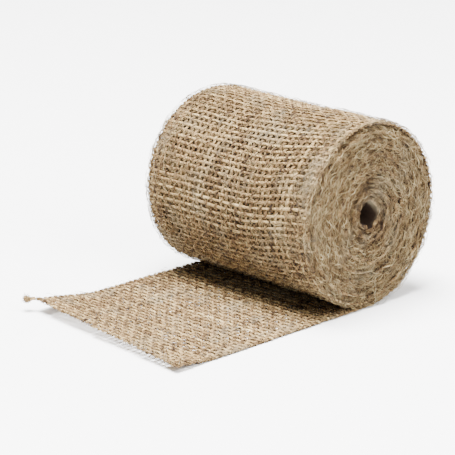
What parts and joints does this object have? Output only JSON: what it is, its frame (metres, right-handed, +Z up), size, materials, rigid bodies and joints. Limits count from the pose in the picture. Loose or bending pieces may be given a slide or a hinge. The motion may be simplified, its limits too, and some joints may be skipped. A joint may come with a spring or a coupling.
{
  "type": "burlap ribbon roll",
  "caption": "Coreless roll of wide natural jute burlap ribbon, its loose tail lying flat with one corner raised.",
  "frame": {"origin": "centre of the winding hole, halfway across the ribbon", "axes": "+Y along the winding hole, +Z up, the loose tail towards -X"},
  "size_m": [0.1633, 0.1055, 0.0866],
  "materials": {
    "jute_roll": "open plain weave of natural jute, dry and hairy",
    "jute_tail": "the same cloth seen flat, a little lighter",
    "jute_knot": "loose jute yarns drawn into a knot"
  },
  "bodies": {
    "outer_turn": {"lap_18": "jute_roll", "tail_under_roll": "jute_tail"},
    "turn_17": {"lap_17": "jute_roll"},
    "turn_16": {"lap_16": "jute_roll"},
    "turn_15": {"lap_15": "jute_roll"},
    "turn_14": {"lap_14": "jute_roll"},
    "turn_13": {"lap_13": "jute_roll"},
    "turn_12": {"lap_12": "jute_roll"},
    "turn_11": {"lap_11": "jute_roll"},
    "turn_10": {"lap_10": "jute_roll"},
    "turn_09": {"lap_09": "jute_roll"},
    "turn_08": {"lap_08": "jute_roll"},
    "turn_07": {"lap_07": "jute_roll"},
    "turn_06": {"lap_06": "jute_roll"},
    "turn_05": {"lap_05": "jute_roll"},
    "turn_04": {"lap_04": "jute_roll"},
    "turn_03": {"lap_03": "jute_roll"},
    "turn_02": {"lap_02": "jute_roll"},
    "turn_01": {"lap_01": "jute_roll"},
    "tail_01": {"tail_stretch_01": "jute_tail"},
    "tail_02": {"tail_stretch_02": "jute_tail"},
    "tail_03": {"tail_stretch_03": "jute_tail"},
    "tail_04": {"tail_stretch_04": "jute_tail"},
    "tail_05": {"tail_stretch_05": "jute_tail"},
    "tail_06": {"tail_stretch_06": "jute_tail"},
    "tail_07": {"tail_stretch_07": "jute_tail"},
    "tail_08": {"tail_stretch_08": "jute_tail"},
    "tail_09": {"tail_stretch_09": "jute_tail"},
    "tail_10": {"tail_stretch_10": "jute_tail"},
    "tail_11": {"tail_cut_end": "jute_tail"},
    "tuft": {"corner_tuft": "jute_knot"}
  },
  "joints": [
    {"name": "telescope", "type": "slide", "parent": "outer_turn", "child": "turn_17", "axis": [0, -1, 0], "range_m": [-0.0025, 0.0025]},
    {"name": "turn_16_slide", "type": "slide", "parent": "turn_17", "child": "turn_16", "axis": [0, -1, 0], "range_m": [-0.0025, 0.0025]},
    {"name": "turn_15_slide", "type": "slide", "parent": "turn_16", "child": "turn_15", "axis": [0, -1, 0], "range_m": [-0.0025, 0.0025]},
    {"name": "turn_14_slide", "type": "slide", "parent": "turn_15", "child": "turn_14", "axis": [0, -1, 0], "range_m": [-0.0025, 0.0025]},
    {"name": "turn_13_slide", "type": "slide", "parent": "turn_14", "child": "turn_13", "axis": [0, -1, 0], "range_m": [-0.0025, 0.0025]},
    {"name": "turn_12_slide", "type": "slide", "parent": "turn_13", "child": "turn_12", "axis": [0, -1, 0], "range_m": [-0.0025, 0.0025]},
    {"name": "turn_11_slide", "type": "slide", "parent": "turn_12", "child": "turn_11", "axis": [0, -1, 0], "range_m": [-0.0025, 0.0025]},
    {"name": "turn_10_slide", "type": "slide", "parent": "turn_11", "child": "turn_10", "axis": [0, -1, 0], "range_m": [-0.0025, 0.0025]},
    {"name": "turn_09_slide", "type": "slide", "parent": "turn_10", "child": "turn_09", "axis": [0, -1, 0], "range_m": [-0.0025, 0.0025]},
    {"name": "turn_08_slide", "type": "slide", "parent": "turn_09", "child": "turn_08", "axis": [0, -1, 0], "range_m": [-0.0025, 0.0025]},
    {"name": "turn_07_slide", "type": "slide", "parent": "turn_08", "child": "turn_07", "axis": [0, -1, 0], "range_m": [-0.0025, 0.0025]},
    {"name": "turn_06_slide", "type": "slide", "parent": "turn_07", "child": "turn_06", "axis": [0, -1, 0], "range_m": [-0.0025, 0.0025]},
    {"name": "turn_05_slide", "type": "slide", "parent": "turn_06", "child": "turn_05", "axis": [0, -1, 0], "range_m": [-0.0025, 0.0025]},
    {"name": "turn_04_slide", "type": "slide", "parent": "turn_05", "child": "turn_04", "axis": [0, -1, 0], "range_m": [-0.0025, 0.0025]},
    {"name": "turn_03_slide", "type": "slide", "parent": "turn_04", "child": "turn_03", "axis": [0, -1, 0], "range_m": [-0.0025, 0.0025]},
    {"name": "turn_02_slide", "type": "slide", "parent": "turn_03", "child": "turn_02", "axis": [0, -1, 0], "range_m": [-0.0025, 0.0025]},
    {"name": "turn_01_slide", "type": "slide", "parent": "turn_02", "child": "turn_01", "axis": [0, -1, 0], "range_m": [-0.0025, 0.0025]},
    {"name": "tail_curl", "type": "hinge", "parent": "outer_turn", "child": "tail_01", "pos_m": [-0.00522, -0.05, -0.042], "axis": [0, 1, 0], "range_deg": [0, 11.9]},
    {"name": "tail_bend_02", "type": "hinge", "parent": "tail_01", "child": "tail_02", "pos_m": [-0.01565, -0.05, -0.042], "axis": [0, 1, 0], "range_deg": [0, 11.9]},
    {"name": "tail_bend_03", "type": "hinge", "parent": "tail_02", "child": "tail_03", "pos_m": [-0.02609, -0.05, -0.042], "axis": [0, 1, 0], "range_deg": [0, 11.9]},
    {"name": "tail_bend_04", "type": "hinge", "parent": "tail_03", "child": "tail_04", "pos_m": [-0.03652, -0.05, -0.042], "axis": [0, 1, 0], "range_deg": [0, 11.9]},
    {"name": "tail_bend_05", "type": "hinge", "parent": "tail_04", "child": "tail_05", "pos_m": [-0.04696, -0.05, -0.042], "axis": [0, 1, 0], "range_deg": [0, 11.9]},
    {"name": "tail_bend_06", "type": "hinge", "parent": "tail_05", "child": "tail_06", "pos_m": [-0.05739, -0.05, -0.042], "axis": [0, 1, 0], "range_deg": [0, 11.9]},
    {"name": "tail_bend_07", "type": "hinge", "parent": "tail_06", "child": "tail_07", "pos_m": [-0.06783, -0.05, -0.042], "axis": [0, 1, 0], "range_deg": [0, 11.9]},
    {"name": "tail_bend_08", "type": "hinge", "parent": "tail_07", "child": "tail_08", "pos_m": [-0.07826, -0.05, -0.042], "axis": [0, 1, 0], "range_deg": [0, 11.9]},
    {"name": "tail_bend_09", "type": "hinge", "parent": "tail_08", "child": "tail_09", "pos_m": [-0.0887, -0.05003, -0.042], "axis": [0, 0.9999, 0.0162], "range_deg": [0, 11.9]},
    {"name": "tail_bend_10", "type": "hinge", "parent": "tail_09", "child": "tail_10", "pos_m": [-0.09914, -0.05006, -0.042], "axis": [0, 0.9995, 0.0325], "range_deg": [0, 11.9]},
    {"name": "tail_bend_11", "type": "hinge", "parent": "tail_10", "child": "tail_11", "pos_m": [-0.10957, -0.05009, -0.042], "axis": [0, 0.9988, 0.0488], "range_deg": [0, 11.9]},
    {"name": "tuft_bend", "type": "hinge", "parent": "tail_11", "child": "tuft", "pos_m": [-0.11131, 0.05069, -0.03788], "axis": [0.7071, 0.7071, 0], "range_deg": [-40, 60]}
  ],
  "couplings": [
    {"joint": "turn_16_slide", "follows": "telescope", "ratio": 1},
    {"joint": "turn_15_slide", "follows": "telescope", "ratio": 1},
    {"joint": "turn_14_slide", "follows": "telescope", "ratio": 1},
    {"joint": "turn_13_slide", "follows": "telescope", "ratio": 1},
    {"joint": "turn_12_slide", "follows": "telescope", "ratio": 1},
    {"joint": "turn_11_slide", "follows": "telescope", "ratio": 1},
    {"joint": "turn_10_slide", "follows": "telescope", "ratio": 1},
    {"joint": "turn_09_slide", "follows": "telescope", "ratio": 1},
    {"joint": "turn_08_slide", "follows": "telescope", "ratio": 1},
    {"joint": "turn_07_slide", "follows": "telescope", "ratio": 1},
    {"joint": "turn_06_slide", "follows": "telescope", "ratio": 1},
    {"joint": "turn_05_slide", "follows": "telescope", "ratio": 1},
    {"joint": "turn_04_slide", "follows": "telescope", "ratio": 1},
    {"joint": "turn_03_slide", "follows": "telescope", "ratio": 1},
    {"joint": "turn_02_slide", "follows": "telescope", "ratio": 1},
    {"joint": "turn_01_slide", "follows": "telescope", "ratio": 1},
    {"joint": "tail_bend_02", "follows": "tail_curl", "ratio": 1},
    {"joint": "tail_bend_03", "follows": "tail_curl", "ratio": 1},
    {"joint": "tail_bend_04", "follows": "tail_curl", "ratio": 1},
    {"joint": "tail_bend_05", "follows": "tail_curl", "ratio": 1},
    {"joint": "tail_bend_06", "follows": "tail_curl", "ratio": 1},
    {"joint": "tail_bend_07", "follows": "tail_curl", "ratio": 1},
    {"joint": "tail_bend_08", "follows": "tail_curl", "ratio": 1},
    {"joint": "tail_bend_09", "follows": "tail_curl", "ratio": 1},
    {"joint": "tail_bend_10", "follows": "tail_curl", "ratio": 1},
    {"joint": "tail_bend_11", "follows": "tail_curl", "ratio": 1}
  ]
}
